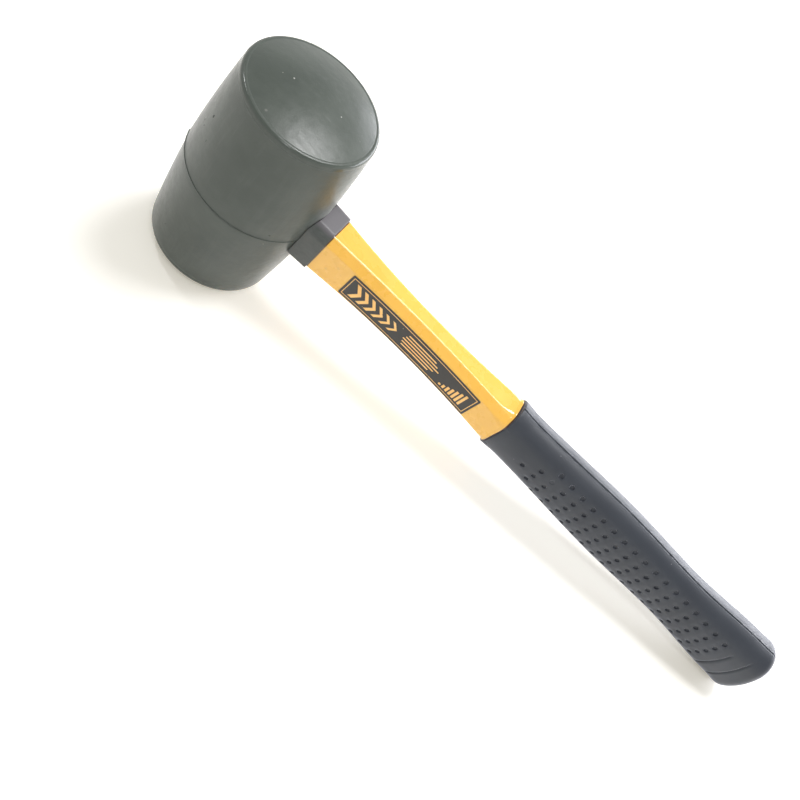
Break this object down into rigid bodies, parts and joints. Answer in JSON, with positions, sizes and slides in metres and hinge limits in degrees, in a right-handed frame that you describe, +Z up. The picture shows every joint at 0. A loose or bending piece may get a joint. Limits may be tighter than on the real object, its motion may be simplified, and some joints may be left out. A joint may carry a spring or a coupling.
{
  "type": "rubber mallet",
  "caption": "Rubber mallet with a tapered round head, crowned faces, an octagonal jacketed handle and a dimpled rubber grip, resting on one face and the butt.",
  "frame": {"origin": "on the floor, under the middle of the box that the lying mallet fills", "axes": "+X along the handle towards the butt, seen from above; +Z up; the mallet lies as it rests on a floor, on the lower crown of the head and the lower edge of the butt"},
  "size_m": [0.3326, 0.06, 0.0984],
  "materials": {
    "head_rubber": "moulded rubber, satin",
    "collar_rubber": "moulded rubber, satin",
    "jacket_plastic": "glossy moulded polypropylene",
    "core_fibreglass": "pultruded rod, cut end",
    "eye_resin": "poured resin, glossy",
    "grip_rubber": "moulded soft rubber, dimpled",
    "label_foil": "printed foil, semi-gloss"
  },
  "bodies": {
    "root": {"rubber_head": "head_rubber", "neck_collar": "collar_rubber", "handle_jacket": "jacket_plastic", "fibreglass_core": "core_fibreglass", "eye_resin": "eye_resin", "grip_sleeve": "grip_rubber", "side_label": "label_foil"}
  },
  "joints": []
}
